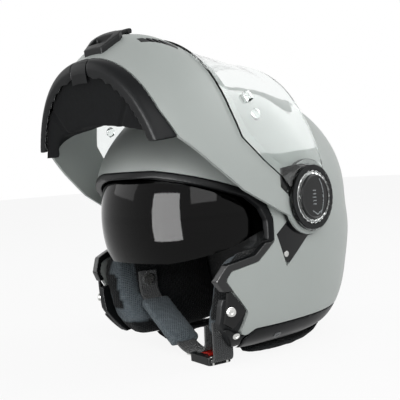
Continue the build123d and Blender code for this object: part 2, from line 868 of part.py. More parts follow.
def chin_pad(x0, x1, wall):
    face = side_face(spots(chin_pad_shares))
    return in_chin(chin_pad_inset, chin_pad_inset + wall, face) & block(x0, x1, -big, 0, -big, big)


def breath_guard():
    low = chin_liner_shares[-1][1] * brow_height + part_gap
    top = arm_shares[-1][1] * brow_height + guard_rise
    body = chin_form(chin_wall + seat_gap) - chin_form(chin_wall + seat_gap + visor_wall)
    return body & block(-guard_half_width, guard_half_width, -big, 0, low, top)


# The hooks slide along this way, inside the chin bar beside the studs
hook_way = Vector(-0.60, -0.80, 0)
hook_out = Vector(0.80, -0.60, 0)


def hook_place():
    """Where the latch hook sits when the chin bar is closed."""
    reach = stud_head_radius + run_gap * 2 + hook_length / 2
    centre = stud_seat().origin + hook_way * reach + hook_out * (stud_length - hook_wall / 4)
    return Plane(origin=centre, x_dir=hook_way, z_dir=hook_out)


def latch_hook():
    place = hook_place()
    body = place * Box(hook_length, hook_width, hook_wall)
    notch = place * Pos(-hook_length / 2, 0, 0) * Cylinder(stud_radius, hook_wall * 2)
    return body - notch


def housing_box(margin, depth, shift):
    centre = hook_wall / 2 + seat_gap + depth / 2
    size = hook_length + 2 * margin
    return hook_place() * Pos(shift, 0, centre) * Box(size, hook_width + 2 * margin, depth)


def latch_housing():
    """The plate between the hook and the chin bar's wall, on which the hook slides."""
    return largest(housing_box(housing_margin, overrun / 2, 0) & chin_form(chin_wall + seat_gap))


def hook_room():
    size = hook_length + 2 * housing_margin + 2 * part_gap
    high = hook_width + 2 * housing_margin + 2 * part_gap
    return hook_place() * Pos(0, 0, overrun / 2 - hook_wall) * Box(size, high, overrun)


def mount_plate():
    plate = disc(mount_plate_radius, arm_outer, mount_outer)
    hub = disc(visor_hub_radius - hinge_play, mount_outer, cover_inner)
    return plate + hub - disc(hinge_pin_radius + hinge_play, 0, mount_outer + part_gap)


def hinge_cover():
    cap = disc(hinge_cover_radius, cover_inner, cover_outer)
    rim = cap.edges().filter_by(GeomType.CIRCLE).sort_by(Axis.X)[-1]
    return chamfer(rim, hinge_cover_wall / 3)


def hinge_ring():
    inner = hinge_cover_radius + seat_gap
    ring = disc(inner + hinge_ring_width, ear_outer, ear_outer + hinge_ring_wall)
    return ring - disc(inner, 0, big)


def ratchet_ring():
    """A toothed sector on the visor's ear, which holds the visor in steps."""
    inner = hinge_cover_radius + seat_gap + hinge_ring_width + seat_gap
    outer = inner + ratchet_width
    ring = disc(outer, ear_outer, ear_outer + ratchet_wall) - disc(inner, 0, big)
    for index in range(ratchet_teeth):
        turn = math.radians(ratchet_start + index * ratchet_pitch)
        y = -hinge_setback + math.cos(turn) * outer
        z = hinge_height + math.sin(turn) * outer
        ring = ring - disc(ratchet_notch, 0, big, y, z)
    return ring


def visor():
    outer = -visor_gap - visor_wall
    wall = in_chin(outer, -visor_gap, side_face(spots(visor_shares), edge_round))
    for cut in both(disc(visor_ear_radius - part_gap, 0, big)):
        wall = wall - cut
    for cut in both(disc(hinge_disc_radius + part_gap, 0, arm_outer + seat_gap)):
        wall = wall - cut
    for side in both(disc(visor_ear_radius, ear_inner, ear_outer)):
        wall = wall + side
    for cut in both(disc(visor_hub_radius, 0, big)):
        wall = wall - cut
    return wall


def view_tab():
    """A small clear thumb tab near the visor's left edge."""
    y, z = at(*view_tab_share)
    place = Plane(origin=(view_tab_width_share * chin_half_width, y, z), z_dir=(0.80, -0.60, 0))
    outer = -visor_gap - visor_wall
    zone = place * Box(view_tab_length, view_tab_width, overrun / 2)
    return zone & (chin_form(outer - view_tab_rise) - chin_form(outer))


def lock_pin():
    """A round pin through the visor, which holds the inner lens."""
    y, z = at(*lock_pin_share)
    place = Plane(origin=(lock_pin_width_share * chin_half_width, y, z), z_dir=(0.80, -0.60, 0))
    body = place * Cylinder(lock_pin_radius, overrun / 2)
    return body & (chin_form(-visor_gap) - chin_form(-visor_gap + lock_pin_wall))


def save_pair(name, piece):
    save(f"{name}_left", piece)
    save(f"{name}_right", right_of(piece))


def build_shell():
    save("outer_shell", outer_shell())
    save("rear_vent", rear_vent())
    save("brow_trim", brow_trim())
    save("base_trim", base_trim())
    save_pair("jaw_trim", jaw_trim())
    frame = jaw_frame()
    save("jaw_frame_left", largest(frame - strap_room(left_points, strap_left_bend)))
    save("jaw_frame_right", right_of(frame))
    save_pair("latch_plate", frame_plate(latch_shares))
    save_pair("jaw_cover", frame_plate(cover_shares))
    save_pair("hinge_plate", hinge_plate())
    save("latch_studs", *both(latch_stud()))
    save("hinge_pins", *both(hinge_pin()))
    save("plate_screws", *both(skin_screw(plate_screw_share, 0, screw_rise)))
    save("cover_screws", *both(skin_screw(cover_screw_share, plate_outer_inset, screw_rise)))
    save("base_screws", *both(skin_screw(base_screw_share, 0, screw_rise)))
    save("impact_liner", impact_liner())
    save("crown_pad", crown_pad())
    save("neck_roll", neck_roll())
    save("sun_visor", sun_visor())
    save("sun_visor_pins", *both(sun_pin()))
    save("sun_lever", sun_lever())


def build_straps():
    pad = cheek_pad()
    left_pad = pad - strap_room(left_points, strap_left_bend)
    left_pad = left_pad - anchor_room(strap_left_run, 1, anchor_left_height)
    right_pad = right_of(pad) - strap_room(right_points, strap_bend)
    right_pad = right_pad - anchor_room(-strap_right_run, -1, anchor_right_height)
    save("cheek_pad_left", largest(left_pad))
    save("cheek_pad_right", largest(right_pad))
    save("strap_left", strap_left())
    save("strap_right", strap_right())
    save("strap_anchors", anchor_left(), anchor_right())
    save("strap_pad", strap_pad())
    save("buckle_frame", buckle_frame())
    save("buckle_tongue", buckle_tongue())
    save("buckle_tab", buckle_tab())
    save("buckle_rivets", buckle_rivet(-rivet_spread), buckle_rivet(rivet_spread))


def build_chin_bar():
    side_pad = chin_pad(chin_pad_half_width + part_gap, big, chin_pad_wall)
    save("chin_bar_shell", opened(chin_bar_shell()))
    save("chin_bar_trim", opened(chin_bar_trim()))
    save("chin_bar_liner", opened(chin_bar_liner()))
    save("chin_centre_pad", opened(chin_pad(-chin_pad_half_width, chin_pad_half_width, chin_pad_wall)))
    save("chin_side_pad_left", opened(side_pad))
    save("chin_side_pad_right", opened(right_of(side_pad)))
    save("breath_guard", opened(breath_guard()))
    save("chin_vent_housing", opened(chin_vent_housing()))
    save("side_grilles", *[opened(side) for side in both(side_grille())])
    save("vent_slider", opened(vent_slider()))
    save("release_button", opened(release_button()))
    save("latch_hook_left", opened(latch_hook()))
    save("latch_hook_right", opened(right_of(latch_hook())))
    save("latch_housings", *[opened(side) for side in both(latch_housing())])
    save("mount_plate_left", opened(mount_plate()))
    save("mount_plate_right", opened(right_of(mount_plate())))
    save("hinge_cover_left", opened(hinge_cover()))
    save("hinge_cover_right", opened(right_of(hinge_cover())))


def build_visor():
    save("visor", opened(visor()))
    save("visor_view_tab", opened(view_tab()))
    save("visor_lock_pins", *[opened(side) for side in both(lock_pin())])
    save("hinge_rings", *[opened(side) for side in both(hinge_ring())])
    save("ratchet_rings", *[opened(side) for side in both(ratchet_ring())])


build_shell()
build_straps()
build_chin_bar()
build_visor()
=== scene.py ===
import math

import bmesh
import bpy
from mathutils import Matrix, Vector
from mathutils.bvhtree import BVHTree


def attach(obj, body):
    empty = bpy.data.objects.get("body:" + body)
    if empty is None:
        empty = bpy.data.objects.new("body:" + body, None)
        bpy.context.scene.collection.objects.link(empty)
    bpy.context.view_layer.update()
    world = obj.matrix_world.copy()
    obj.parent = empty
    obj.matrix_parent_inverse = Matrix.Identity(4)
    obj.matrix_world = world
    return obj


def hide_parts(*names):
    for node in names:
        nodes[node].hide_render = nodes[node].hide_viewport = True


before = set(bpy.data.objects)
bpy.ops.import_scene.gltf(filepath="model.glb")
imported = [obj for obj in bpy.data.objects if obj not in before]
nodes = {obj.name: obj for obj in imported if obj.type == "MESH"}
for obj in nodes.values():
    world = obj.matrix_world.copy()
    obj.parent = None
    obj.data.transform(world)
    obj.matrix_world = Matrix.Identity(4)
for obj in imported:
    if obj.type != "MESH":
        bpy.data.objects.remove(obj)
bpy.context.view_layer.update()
mm = 0.001

# The chin bar and visor turn about a line across the helmet, at this place in millimetres, and
# stand this many degrees up at rest
pivot_y, pivot_z = -17, 152
open_angle = 81
hinge = Vector((0, pivot_y * mm, pivot_z * mm))
raised = (Matrix.Translation(hinge) @ Matrix.Rotation(math.radians(-open_angle), 4, "X")
          @ Matrix.Translation(-hinge))
lowered = raised.inverted()


# Materials

# The colour sockets of a Mix node, which share their names with its number sockets
mix_low, mix_high, mix_colour = 6, 7, 2
# A wave texture repeats this often over one unit of its scale
waves_per_unit = 3.18


def linear(code):
    """An sRGB hex colour as linear red, green, blue and alpha."""
    parts = [int(code[place:place + 2], 16) / 255 for place in (1, 3, 5)]
    return [c / 12.92 if c <= 0.04045 else ((c + 0.055) / 1.055) ** 2.4 for c in parts] + [1.0]


def per_metre(size):
    """A texture scale that gives features of a size in millimetres."""
    return 1 / (size * mm)


def add(tree, kind, inputs=None, **settings):
    """A node with its settings; inputs are plain values, or the sockets that feed them."""
    made = tree.nodes.new(kind)
    for name, value in settings.items():
        setattr(made, name, value)
    for name, value in (inputs or {}).items():
        if isinstance(value, bpy.types.NodeSocket):
            tree.links.new(value, made.inputs[name])
        else:
            made.inputs[name].default_value = value
    return made


def new_finish(name, **sockets):
    """A material with its shader's plain values, its node tree and the place on the piece."""
    made = bpy.data.materials.new(name)
    made.use_nodes = True
    tree = made.node_tree
    shader = tree.nodes["Principled BSDF"]
    for socket, value in sockets.items():
        shader.inputs[socket.replace("_", " ")].default_value = value
    place = add(tree, "ShaderNodeTexCoord").outputs["Object"]
    return made, tree, shader, place


def tint(tree, shader, factor, low, high):
    """The base colour, between two hex colours."""
    blend = add(tree, "ShaderNodeMix", {"Factor": factor}, data_type="RGBA")
    blend.inputs[mix_low].default_value = linear(low)
    blend.inputs[mix_high].default_value = linear(high)
    tree.links.new(blend.outputs[mix_colour], shader.inputs["Base Color"])


def gloss(tree, shader, factor, low, high):
    """The roughness, spread over a range by a pattern."""
    spread = add(tree, "ShaderNodeMapRange", {"Value": factor, "To Min": low, "To Max": high})
    tree.links.new(spread.outputs["Result"], shader.inputs["Roughness"])


def relief(tree, shader, height, depth, strength=1.0):
    """A bump of a depth in millimetres."""
    bump = add(tree, "ShaderNodeBump", {"Height": height, "Distance": depth * mm,
                                        "Strength": strength})
    tree.links.new(bump.outputs["Normal"], shader.inputs["Normal"])


def matt_paint():
    """Matt clear coat sprayed over grey paint: even, with a soft wide sheen and faint orange peel."""
    made, tree, shader, place = new_finish("matt_grey_paint", Roughness=0.42, IOR=1.5)
    cloud = add(tree, "ShaderNodeTexNoise", {"Vector": place, "Scale": per_metre(70),
                                             "Detail": 3.0})
    tint(tree, shader, cloud.outputs["Fac"], "#A2A8A5", "#ABB1AE")
    smear = add(tree, "ShaderNodeTexNoise", {"Vector": place, "Scale": per_metre(18),
                                             "Detail": 4.0})
    gloss(tree, shader, smear.outputs["Fac"], 0.38, 0.48)
    # Orange peel is about 1.5 mm across and only hundredths of a millimetre deep
    peel = add(tree, "ShaderNodeTexNoise", {"Vector": place, "Scale": per_metre(1.5),
                                            "Detail": 2.0})
    relief(tree, shader, peel.outputs["Fac"], 0.02)
    return made


def grained_plastic(name, low, high, smooth, rough, grain, depth, shine=0.18):
    """Injection moulded ABS from a spark eroded tool: a fine grain that breaks up the highlights."""
    made, tree, shader, place = new_finish(name, IOR=1.5, Specular_IOR_Level=shine)
    cloud = add(tree, "ShaderNodeTexNoise", {"Vector": place, "Scale": per_metre(25),
                                             "Detail": 3.0})
    tint(tree, shader, cloud.outputs["Fac"], low, high)
    gloss(tree, shader, cloud.outputs["Fac"], smooth, rough)
    pits = add(tree, "ShaderNodeTexNoise", {"Vector": place, "Scale": per_metre(grain),
                                            "Detail": 2.0})
    relief(tree, shader, pits.outputs["Fac"], depth)
    return made


def lens_plastic(name, code, index, shine, rough, scratch):
    """Moulded polycarbonate, hard coated: clear or smoked, with hairline wipe marks."""
    made, tree, shader, place = new_finish(
        name, IOR=index, Specular_IOR_Level=shine, Transmission_Weight=1.0, Base_Color=linear(code))
    drawn = add(tree, "ShaderNodeMapping", {"Vector": place, "Scale": (1.0, 1.0, 14.0)})
    wipe = add(tree, "ShaderNodeTexNoise", {"Vector": drawn.outputs["Vector"],
                                            "Scale": per_metre(12), "Detail": 5.0})
    gloss(tree, shader, wipe.outputs["Fac"], rough, rough + scratch)
    return made


def turned_steel(name, low, high, rough):
    """Stainless steel, turned or pressed, with faint tool lines."""
    made, tree, shader, place = new_finish(name, Metallic=1.0)
    drawn = add(tree, "ShaderNodeMapping", {"Vector": place, "Scale": (1.0, 1.0, 9.0)})
    lines = add(tree, "ShaderNodeTexNoise", {"Vector": drawn.outputs["Vector"],
                                             "Scale": per_metre(2.5), "Detail": 4.0})
    tint(tree, shader, lines.outputs["Fac"], low, high)
    gloss(tree, shader, lines.outputs["Fac"], rough, rough + 0.16)
    relief(tree, shader, lines.outputs["Fac"], 0.015)
    return made


def bead_foam():
    """Expanded polystyrene, steam moulded: dark beads about 3.5 mm across pressed together."""
    made, tree, shader, place = new_finish("expanded_polystyrene", Roughness=0.72, IOR=1.5)
    beads = add(tree, "ShaderNodeTexVoronoi", {"Vector": place, "Scale": per_metre(3.5)},
                feature="DISTANCE_TO_EDGE")
    shade = add(tree, "ShaderNodeTexNoise", {"Vector": place, "Scale": per_metre(9),
                                             "Detail": 2.0})
    tint(tree, shader, shade.outputs["Fac"], "#1B1D1E", "#292C2D")
    edge = add(tree, "ShaderNodeMapRange", {"Value": beads.outputs["Distance"], "From Max": 0.12})
    relief(tree, shader, edge.outputs["Result"], 0.35)
    return made


def lining_cloth(name, panel_low, panel_high, edge_low, edge_high, pitch, depth, sheen):
    """Brushed polyester knit: loops in a lattice, a fuzzy sheen, and a darker cloth round the panel;
    behind the cheek pads' panel that dark is painted shade.

    The loops are about 0.8 mm in the real cloth, and are drawn coarser so that they show.
    """
    made, tree, shader, place = new_finish(
        name, Roughness=0.9, Specular_IOR_Level=0.06, Sheen_Weight=sheen, Sheen_Roughness=0.5)
    turned = add(tree, "ShaderNodeMapping", {"Vector": place, "Rotation": (0.6, 0.5, 0.8)})
    waves = [add(tree, "ShaderNodeTexWave", {"Vector": turned.outputs["Vector"],
                                             "Scale": per_metre(pitch) / waves_per_unit,
                                             "Distortion": 0.6, "Detail": 1.0}, bands_direction=way)
             for way in ("X", "Y", "Z")]
    pair = add(tree, "ShaderNodeMath", {0: waves[0].outputs["Fac"], 1: waves[1].outputs["Fac"]})
    loops = add(tree, "ShaderNodeMath", {0: pair.outputs[0], 1: waves[2].outputs["Fac"]})
    nap = add(tree, "ShaderNodeTexNoise", {"Vector": place, "Scale": per_metre(6), "Detail": 5.0})
    fade = add(tree, "ShaderNodeMath", {0: loops.outputs[0], 1: 0.18}, operation="MULTIPLY")
    depth_mix = add(tree, "ShaderNodeMath", {0: fade.outputs[0], 1: nap.outputs["Fac"]})
    shade = add(tree, "ShaderNodeMapRange", {"Value": depth_mix.outputs[0], "From Min": 0.35,
                                             "From Max": 1.2})
    inner = add(tree, "ShaderNodeMix", {"Factor": shade.outputs["Result"]}, data_type="RGBA")
    outer = add(tree, "ShaderNodeMix", {"Factor": shade.outputs["Result"]}, data_type="RGBA")
    panel = add(tree, "ShaderNodeAttribute", attribute_name="panel")
    both_cloths = add(tree, "ShaderNodeMix", {"Factor": panel.outputs["Fac"]}, data_type="RGBA")
    for mix, colours in ((inner, (panel_low, panel_high)), (outer, (edge_low, edge_high))):
        mix.inputs[mix_low].default_value = linear(colours[0])
        mix.inputs[mix_high].default_value = linear(colours[1])
    tree.links.new(outer.outputs[mix_colour], both_cloths.inputs[mix_low])
    tree.links.new(inner.outputs[mix_colour], both_cloths.inputs[mix_high])
    tree.links.new(both_cloths.outputs[mix_colour], shader.inputs["Base Color"])
    relief(tree, shader, loops.outputs[0], depth)
    return made


def woven_strap():
    """Polyester webbing, woven: ribs across the strap and yarns along it, drawn coarse to show."""
    rib_pitch, yarn_pitch = 1.8, 2.6
    made, tree, shader, place = new_finish("polyester_webbing", Roughness=0.8, Sheen_Weight=0.2)
    flat = add(tree, "ShaderNodeUVMap", uv_map="weave").outputs["UV"]
    ribs = add(tree, "ShaderNodeTexWave", {
        "Vector": flat, "Scale": per_metre(rib_pitch) / waves_per_unit, "Distortion": 0.4},
        bands_direction="Y")
    yarns = add(tree, "ShaderNodeTexWave", {
        "Vector": flat, "Scale": per_metre(yarn_pitch) / waves_per_unit}, bands_direction="X")
    weave = add(tree, "ShaderNodeMath", {0: ribs.outputs["Fac"], 1: yarns.outputs["Fac"]})
    shade = add(tree, "ShaderNodeMath", {0: weave.outputs[0], 1: 0.5}, operation="MULTIPLY")
    tint(tree, shader, shade.outputs[0], "#121415", "#24282A")
    relief(tree, shader, weave.outputs[0], 0.25)
    return made


paint = matt_paint()
black = grained_plastic("moulded_abs_black", "#0D0E0F", "#151718", 0.36, 0.5, 0.9, 0.03)
gloss_black = grained_plastic(
    "moulded_abs_gloss_black", "#090A0B", "#0E1011", 0.12, 0.22, 2.0, 0.01, shine=0.3)
inner_black = grained_plastic("moulded_abs_inner", "#101213", "#191B1D", 0.38, 0.55, 1.2, 0.04)
satin = grained_plastic("moulded_abs_satin", "#0C0D0E", "#131516", 0.24, 0.34, 1.2, 0.015, 0.5)
# Grey for the pivot cap's marks: on the arc and bars it is a painted highlight for the light caught
# on their raised edges, on the chevron the mark's own colour.
mark_and_highlight_grey = grained_plastic("moulded_abs_grey_mark_and_highlight", "#7E8385", "#8E9395", 0.3, 0.4, 1.2, 0.01)
rubber = grained_plastic("moulded_rubber", "#0A0B0C", "#121416", 0.32, 0.44, 1.0, 0.02, 0.12)
red = grained_plastic("moulded_abs_red", "#B0201A", "#C22C22", 0.22, 0.3, 1.4, 0.01)
clear = lens_plastic("clear_polycarbonate", "#F7FAF9", 1.5, 0.5, 0.02, 0.03)
smoked = lens_plastic("smoked_polycarbonate", "#0C0E11", 1.24, 0.3, 0.03, 0.04)
steel = turned_steel("stainless_steel", "#B9BAB8", "#D2D2CF", 0.2)
dark_steel = turned_steel("blackened_steel", "#4A4C4D", "#5B5D5E", 0.3)
foam = bead_foam()
# The cheek cloth's black round its grey panel is partly painted shade: behind the panel it stands for
# the shade deeper in the helmet.
cheek_cloth = lining_cloth("brushed_knit_grey", "#59636A", "#767F84", "#0E1012", "#191C1E",
                           2.2, 0.3, 0.12)
dark_cloth = lining_cloth("brushed_knit_black", "#131618", "#1D2123", "#0E1012", "#171A1C",
                          2.2, 0.3, 0.06)
chin_cloth = lining_cloth("laminated_knit_black", "#090A0B", "#101214", "#090A0B", "#101214",
                          1.2, 0.06, 0.02)
webbing = woven_strap()

finishes = {
    "outer_shell": paint, "chin_bar_shell": paint,
    "brow_trim": rubber, "base_trim": rubber, "jaw_trim_left": satin, "jaw_trim_right": satin,
    "chin_bar_trim": rubber, "breath_guard": rubber, "release_button": rubber,
    "visor": clear, "visor_view_tab": clear, "visor_lock_pins": clear,
    "sun_visor": smoked, "buckle_tab": red,
    "impact_liner": foam,
    "jaw_frame_left": inner_black, "jaw_frame_right": inner_black,
    "latch_plate_left": gloss_black, "latch_plate_right": gloss_black,
    "hinge_plate_left": gloss_black, "hinge_plate_right": gloss_black,
    "hinge_pins": steel, "sun_visor_pins": steel, "strap_anchors": steel,
    "buckle_tongue": steel, "buckle_rivets": steel, "latch_hook_left": steel,
    "latch_hook_right": steel,
}


def dress(piece, material):
    """One finish all over a piece."""
    slots = piece.data.materials
    if len(slots) == 0:
        slots.append(material)
    for index in range(len(slots)):
        slots[index] = material


for name, piece in nodes.items():
    dress(piece, finishes.get(name, black))


# Camera, fitted to the photograph's lines: its place in millimetres, its turn, rise and roll in
# degrees, and its lens and sensor in millimetres

camera_spot = (576.7, -617.3, 186.2)
camera_turn, camera_rise, camera_roll = 45, 2.35, -3.68
camera_lens, camera_sensor = 70.2, 36


def photo_camera():
    """The camera at its spot, with its axes worked out from the turn, rise and roll."""
    camera = bpy.data.objects.new("camera", bpy.data.cameras.new("camera"))
    camera.data.lens = camera_lens
    camera.data.sensor_width = camera_sensor
    turn, rise, roll = (math.radians(angle) for angle in (camera_turn, camera_rise, camera_roll))
    back = Vector((math.sin(turn) * math.cos(rise), -math.cos(turn) * math.cos(rise),
                   math.sin(rise)))
    level = (-back).cross(Vector((0, 0, 1))).normalized()
    upright = level.cross(-back)
    side = math.cos(roll) * level + math.sin(roll) * upright
    top = -math.sin(roll) * level + math.cos(roll) * upright
    camera.matrix_world = Matrix.Translation(Vector(camera_spot) * mm) @ Matrix(
        (side, top, back)).transposed().to_4x4()
    bpy.context.scene.collection.objects.link(camera)
    bpy.context.scene.camera = camera


# Studio, in metres and watts

helmet_middle = Vector((0, -0.02, 0.16))
world_light = 0.34
floor_size, floor_grey, floor_white_share = 6.0, 0.92, 0.9


def soft_box(name, spot, size, power):
    """A square studio lamp that looks at the helmet's middle."""
    lamp = bpy.data.lights.new(name, "AREA")
    lamp.size = size
    lamp.energy = power
    made = bpy.data.objects.new(name, lamp)
    way = helmet_middle - Vector(spot)
    made.rotation_euler = way.to_track_quat("-Z", "Y").to_euler()
    made.location = spot
    bpy.context.scene.collection.objects.link(made)
    return made


def pale_to_camera(tree, plain, share):
    """White to the camera, mirrors and glass, and the plain shader to all other rays."""
    path = add(tree, "ShaderNodeLightPath")
    seen = add(tree, "ShaderNodeMath", {0: path.outputs["Is Camera Ray"],
                                        1: path.outputs["Is Glossy Ray"]}, operation="MAXIMUM")
    either = add(tree, "ShaderNodeMath", {0: seen.outputs[0],
                                          1: path.outputs["Is Transmission Ray"]},
                 operation="MAXIMUM")
    part = add(tree, "ShaderNodeMath", {0: either.outputs[0], 1: share}, operation="MULTIPLY")
    white = add(tree, "ShaderNodeEmission", {"Color": (1, 1, 1, 1), "Strength": 1.0})
    mix = add(tree, "ShaderNodeMixShader", {0: part.outputs[0], 1: plain, 2: white.outputs[0]})
    return mix.outputs[0]


def studio():
    """Even white light all round, three soft lamps, and one more for the reflections."""
    bpy.context.scene.view_settings.view_transform = "Standard"
    world = bpy.data.worlds.new("studio")
    bpy.context.scene.world = world
    world.use_nodes = True
    tree = world.node_tree
    tree.nodes["Background"].inputs["Color"].default_value = (1, 1, 1, 1)
    tree.nodes["Background"].inputs["Strength"].default_value = world_light
    white = pale_to_camera(tree, tree.nodes["Background"].outputs[0], 1.0)
    tree.links.new(white, tree.nodes["World Output"].inputs["Surface"])
    soft_box("key_lamp", (1.3, -0.9, 0.9), 1.0, 12.5)
    soft_box("fill_lamp", (-1.2, -0.9, 0.9), 0.9, 4)
    # A near lamp that shows in polished surfaces alone, as the stripe on the sun visor
    strip = soft_box("strip_lamp", (0.072, -0.45, 0.1), 0.26, 6.5)
    strip.data.shape = "RECTANGLE"
    strip.data.size_y = 0.4
    strip.visible_diffuse = False
    strip.visible_camera = False
    soft_box("rim_lamp", (0.9, 1.1, 1.1), 1.0, 8)


def lay_floor():
    """A plain pale floor that keeps the helmet's shadow."""
    bm = bmesh.new()
    bmesh.ops.create_grid(bm, x_segments=1, y_segments=1, size=floor_size)
    floor = new_piece("floor", bm)
    made = bpy.data.materials.new("pale_floor")
    made.use_nodes = True
    tree = made.node_tree
    tree.nodes.remove(tree.nodes["Principled BSDF"])
    plain = add(tree, "ShaderNodeBsdfDiffuse", {"Color": (floor_grey, floor_grey, floor_grey, 1)})
    surface = pale_to_camera(tree, plain.outputs[0], floor_white_share)
    tree.links.new(surface, tree.nodes["Material Output"].inputs["Surface"])
    dress(floor, made)


def new_piece(name, bm, smooth=True):
    """A bmesh as an object at the origin."""
    mesh = bpy.data.meshes.new(name)
    bm.to_mesh(mesh)
    bm.free()
    for face in mesh.polygons:
        face.use_smooth = smooth
    piece = bpy.data.objects.new(name, mesh)
    bpy.context.scene.collection.objects.link(piece)
    return piece


def set_in_place(piece, body, replaced=()):
    """Hand a finished piece to the body that carries it, in the place of its CAD nodes."""
    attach(piece, body)
    if replaced:
        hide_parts(*replaced)


photo_camera()
studio()
lay_floor()


# Soft pieces

def evaluated(piece):
    """The piece's mesh as its modifiers leave it."""
    bpy.context.view_layer.update()
    graph = bpy.context.evaluated_depsgraph_get()
    return bpy.data.meshes.new_from_object(piece.evaluated_get(graph))


def settle(piece):
    """Turn the piece's modifiers into its own mesh."""
    made = evaluated(piece)
    piece.modifiers.clear()
    piece.data = made


def merged(names):
    """CAD nodes' loose triangles in one bmesh, joined at their corners."""
    bm = bmesh.new()
    for name in names:
        bm.from_mesh(nodes[name].data)
    bmesh.ops.remove_doubles(bm, verts=bm.verts, dist=0.02 * mm)
    return bm


def even_skin(name, bm, voxel):
    """The outside of a bmesh as one closed skin of small even faces."""
    piece = new_piece(name, bm)
    remesh = piece.modifiers.new("even", "REMESH")
    remesh.mode = "VOXEL"
    remesh.voxel_size = voxel * mm
    settle(piece)
    return piece


def move_along_normals(piece, amount):
    """Swell or shrink a skin; amount is a length, or a function of a place and its normal."""
    mesh = piece.data
    normals = [vertex.normal.copy() for vertex in mesh.vertices]
    for vertex, normal in zip(mesh.vertices, normals):
        vertex.co += normal * (amount(vertex.co, normal) if callable(amount) else amount)
    mesh.update()


def round_off(piece, factor, times):
    """Soften a skin's corners."""
    bm = bmesh.new()
    bm.from_mesh(piece.data)
    for _ in range(times):
        bmesh.ops.smooth_vert(bm, verts=bm.verts, factor=factor, use_axis_x=True, use_axis_y=True,
                              use_axis_z=True)
    bm.to_mesh(piece.data)
    bm.free()


cloth_frames = 20


def puff_up(piece, pressure, cap):
    """Blow the cover up as cloth, so that no place moves further than the cap in millimetres."""
    start = [vertex.co.copy() for vertex in piece.data.vertices]
    cloth = piece.modifiers.new("cover", "CLOTH")
    cloth.settings.quality = 4
    cloth.settings.mass = 0.25
    cloth.settings.tension_stiffness = 12
    cloth.settings.compression_stiffness = 12
    cloth.settings.bending_stiffness = 0.6
    cloth.settings.use_pressure = True
    cloth.settings.uniform_pressure_force = pressure
    cloth.settings.effector_weights.gravity = 0
    for frame_number in range(1, cloth_frames + 1):
        bpy.context.scene.frame_set(frame_number)
    settle(piece)
    bpy.context.scene.frame_set(1)
    for vertex, rest in zip(piece.data.vertices, start):
        shift = vertex.co - rest
        reach = cap * mm
        if shift.length > reach:
            shift = shift.normalized() * reach
        vertex.co = rest + shift
    piece.data.update()


def mark_panel(piece, inside):
    """Write which part of the cover is the panel cloth, from 0 to 1."""
    layer = piece.data.attributes.new("panel", "FLOAT", "POINT")
    for vertex in piece.data.vertices:
        layer.data[vertex.index].value = inside(vertex.co, vertex.normal)


def refine(piece):
    """One level of subdivision, in every view and render."""
    finer = piece.modifiers.new("finer", "SUBSURF")
    finer.levels = 1
    finer.render_levels = 1


def dip(distance, width):
    """The profile of a sewn channel: 1 on the seam, falling to 0."""
    return math.exp(-(distance / width) ** 2)


def join_to(piece, replaced, body, material):
    """Set a finished pad in the place of its CAD solids."""
    dress(piece, material)
    for face in piece.data.polygons:
        face.use_smooth = True
    set_in_place(piece, body, replaced)


channel_depth, channel_width = 2.2, 2.4
cover_pressure = 4.0
# A seam that is nowhere near, in metres
far = 1.0


def soft_pad(name, node, seam_distance, panel, material, voxel=3.5, shrink=1.2, cap=2.5):
    """A sewn pad in the place of a CAD solid: rounded, blown up between its seams, and channelled."""
    piece = even_skin(name, merged([node]), voxel)
    round_off(piece, 0.5, 4)
    move_along_normals(piece, -shrink * mm)
    puff_up(piece, cover_pressure, cap)
    move_along_normals(piece, lambda place, normal: -channel_depth * mm * dip(
        seam_distance(place, normal), channel_width * mm))
    round_off(piece, 0.3, 1)
    mark_panel(piece, panel)
    refine(piece)
    join_to(piece, (node,), "shell", material)
    return piece


# The grey panel on each cheek pad's inner side: where it starts and ends from front to back, how much
# further back it reaches below its step, and the heights of its foot and of the step. Behind its back
# end the black is painted shade.
panel_front, panel_back, panel_widening = -101, -81, 13
panel_foot, panel_step, panel_step_height = 29, 58, 8
cheek_inner_side = 84


def cheek_border(place):
    """How far a place is outside the grey panel; negative inside it."""
    step = min(max((panel_step * mm - place.z) / (panel_step_height * mm), 0), 1)
    back = (panel_back + panel_widening * step) * mm
    return max(panel_front * mm - place.y, place.y - back, panel_foot * mm - place.z)


def cheek_seam(place, normal):
    """The panel is sewn in all round, on the side that faces the cheek."""
    inner = abs(normal.x) > 0.3 and abs(place.x) < cheek_inner_side * mm
    return abs(cheek_border(place)) if inner else far


def cheek_panel(place, normal):
    """The panel is of the grey cloth, and all round it is black; behind its back edge that black is
    painted shade, for the shade deeper inside the helmet.
    """
    return 1.0 if cheek_border(place) < 0 and abs(place.x) < cheek_inner_side * mm else 0.0


for side in ("left", "right"):
    soft_pad(f"cheek_cushion_{side}", f"cheek_pad_{side}", cheek_seam, cheek_panel, cheek_cloth)


def all_panel(place, normal):
    return 1.0


def no_panel(place, normal):
    return 0.0


crown_seams = (30, 58)
crown_cross_seam = -8


def crown_seam(place, normal):
    """The crown pad is quilted in strips from front to back, and once across."""
    strips = min(abs(abs(place.x) - seam * mm) for seam in crown_seams)
    return min(strips, abs(place.y - crown_cross_seam * mm)) if normal.z < 0 else far


soft_pad("crown_cushion", "crown_pad", crown_seam, all_panel, dark_cloth, voxel=4.0, cap=2.0)

roll_middle, roll_seam_height, roll_seam_turn = -7, 10, 30
floor_snap = 1.4


def roll_seam(place, normal):
    """The neck roll has a seam above its foot, and others across it at even turns."""
    around = math.degrees(math.atan2(place.x, place.y - roll_middle * mm))
    turn = math.radians(around % roll_seam_turn - roll_seam_turn / 2)
    level = roll_seam_height * mm
    across = abs(turn) * math.hypot(place.x, place.y) if place.z > level else far
    return min(abs(place.z - level), across)


